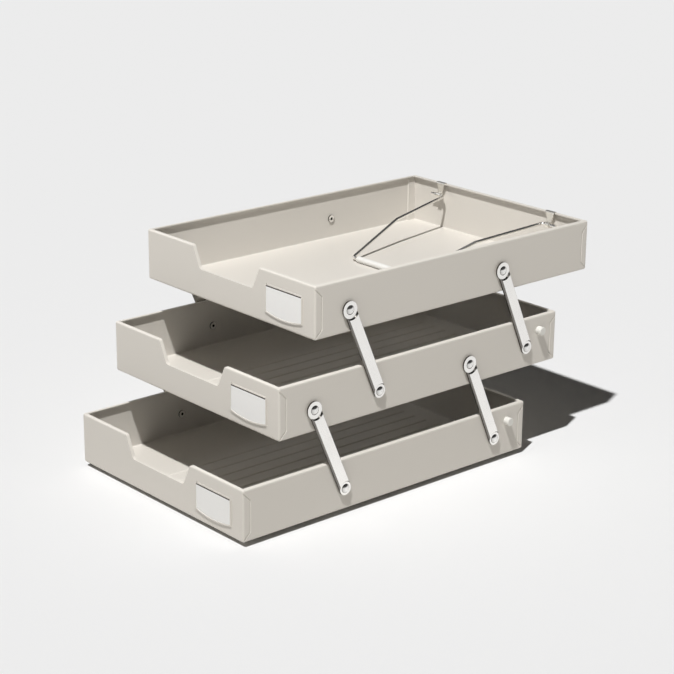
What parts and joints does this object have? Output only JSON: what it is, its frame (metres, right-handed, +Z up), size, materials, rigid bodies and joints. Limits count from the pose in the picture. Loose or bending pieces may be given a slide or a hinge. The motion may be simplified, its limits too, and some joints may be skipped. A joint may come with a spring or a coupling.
{
  "type": "letter tray stack",
  "caption": "Three folded steel letter trays on parallel swing arms, each with a front scoop and a card holder, and a wire paper retainer in the top tray.",
  "frame": {"origin": "bottom centre of the whole part's bounding box with the trays spread as in the picture; on the plane that the feet stand on", "axes": "+X to the right as seen by the user, -Y towards the user and the finger scoops, +Z up"},
  "size_m": [0.252, 0.4194, 0.2175],
  "materials": {
    "tray_paint": "satin powder coat, warm ivory",
    "arm_nickel": "bright nickel plating",
    "rivet_steel": "polished domed head",
    "washer_nylon": "natural",
    "stop_nylon": "white, slightly glossy",
    "foot_rubber": "matt black",
    "card_paper": "blank white card",
    "wire_chrome": "bright chrome",
    "sleeve_plastic": "white soft sleeve",
    "clip_steel": "bright plated spring steel"
  },
  "bodies": {
    "lower_tray": {"lower_tray": "tray_paint", "lower_label_card": "card_paper", "lower_tray_rivets": "rivet_steel", "lower_tray_washers": "washer_nylon", "lower_tray_stop_left": "stop_nylon", "lower_tray_stop_right": "stop_nylon", "foot_front_left": "foot_rubber", "foot_front_right": "foot_rubber", "foot_rear_left": "foot_rubber", "foot_rear_right": "foot_rubber"},
    "middle_tray": {"middle_tray": "tray_paint", "middle_label_card": "card_paper", "middle_tray_hanger_rivets": "rivet_steel", "middle_tray_base_rivets": "rivet_steel", "middle_tray_hanger_washers": "washer_nylon", "middle_tray_base_washers": "washer_nylon", "middle_tray_stop_left": "stop_nylon", "middle_tray_stop_right": "stop_nylon"},
    "upper_tray": {"upper_tray": "tray_paint", "upper_label_card": "card_paper", "upper_tray_rivets": "rivet_steel", "upper_tray_washers": "washer_nylon", "retainer_clip_left": "clip_steel", "retainer_clip_right": "clip_steel"},
    "retainer": {"retainer_wire": "wire_chrome", "retainer_sleeve": "sleeve_plastic"},
    "lower_arm_rear_right": {"lower_arm_rear_right": "arm_nickel"},
    "lower_arm_rear_left": {"lower_arm_rear_left": "arm_nickel"},
    "lower_arm_front_right": {"lower_arm_front_right": "arm_nickel"},
    "lower_arm_front_left": {"lower_arm_front_left": "arm_nickel"},
    "middle_arm_rear_right": {"middle_arm_rear_right": "arm_nickel"},
    "middle_arm_rear_left": {"middle_arm_rear_left": "arm_nickel"},
    "middle_arm_front_right": {"middle_arm_front_right": "arm_nickel"},
    "middle_arm_front_left": {"middle_arm_front_left": "arm_nickel"}
  },
  "joints": [
    {"name": "lower_arm_rear_right_swing", "type": "hinge", "parent": "lower_tray", "child": "lower_arm_rear_right", "pos_m": [0, 0.09002, 0.0255], "axis": [1, 0, 0], "range_deg": [-47.3, 33.4]},
    {"name": "lower_arm_rear_left_swing", "type": "hinge", "parent": "lower_tray", "child": "lower_arm_rear_left", "pos_m": [0, 0.09002, 0.0255], "axis": [1, 0, 0], "range_deg": [-47.3, 33.4]},
    {"name": "lower_arm_front_right_swing", "type": "hinge", "parent": "lower_tray", "child": "lower_arm_front_right", "pos_m": [0, -0.09598, 0.0255], "axis": [1, 0, 0], "range_deg": [-47.3, 33.4]},
    {"name": "lower_arm_front_left_swing", "type": "hinge", "parent": "lower_tray", "child": "lower_arm_front_left", "pos_m": [0, -0.09598, 0.0255], "axis": [1, 0, 0], "range_deg": [-47.3, 33.4]},
    {"name": "middle_tray_level", "type": "hinge", "parent": "lower_arm_rear_right", "child": "middle_tray", "pos_m": [0, 0.05445, 0.1073], "axis": [1, 0, 0], "range_deg": [-33.4, 47.3]},
    {"name": "middle_arm_rear_right_swing", "type": "hinge", "parent": "middle_tray", "child": "middle_arm_rear_right", "pos_m": [0, 0.12925, 0.1073], "axis": [1, 0, 0], "range_deg": [-47.3, 33.4]},
    {"name": "middle_arm_rear_left_swing", "type": "hinge", "parent": "middle_tray", "child": "middle_arm_rear_left", "pos_m": [0, 0.12925, 0.1073], "axis": [1, 0, 0], "range_deg": [-47.3, 33.4]},
    {"name": "middle_arm_front_right_swing", "type": "hinge", "parent": "middle_tray", "child": "middle_arm_front_right", "pos_m": [0, -0.05675, 0.1073], "axis": [1, 0, 0], "range_deg": [-47.3, 33.4]},
    {"name": "middle_arm_front_left_swing", "type": "hinge", "parent": "middle_tray", "child": "middle_arm_front_left", "pos_m": [0, -0.05675, 0.1073], "axis": [1, 0, 0], "range_deg": [-47.3, 33.4]},
    {"name": "upper_tray_level", "type": "hinge", "parent": "middle_arm_rear_right", "child": "upper_tray", "pos_m": [0, 0.09368, 0.18911], "axis": [1, 0, 0], "range_deg": [-33.4, 47.3]},
    {"name": "retainer_lift", "type": "hinge", "parent": "upper_tray", "child": "retainer", "pos_m": [0, 0.20228, 0.20461], "axis": [-1, 0, 0], "range_deg": [0, 90]}
  ],
  "couplings": [
    {"joint": "lower_arm_rear_left_swing", "follows": "lower_arm_rear_right_swing", "ratio": 1},
    {"joint": "lower_arm_front_right_swing", "follows": "lower_arm_rear_right_swing", "ratio": 1},
    {"joint": "lower_arm_front_left_swing", "follows": "lower_arm_rear_right_swing", "ratio": 1},
    {"joint": "middle_tray_level", "follows": "lower_arm_rear_right_swing", "ratio": -1},
    {"joint": "middle_arm_rear_left_swing", "follows": "middle_arm_rear_right_swing", "ratio": 1},
    {"joint": "middle_arm_front_right_swing", "follows": "middle_arm_rear_right_swing", "ratio": 1},
    {"joint": "middle_arm_front_left_swing", "follows": "middle_arm_rear_right_swing", "ratio": 1},
    {"joint": "upper_tray_level", "follows": "middle_arm_rear_right_swing", "ratio": -1}
  ]
}
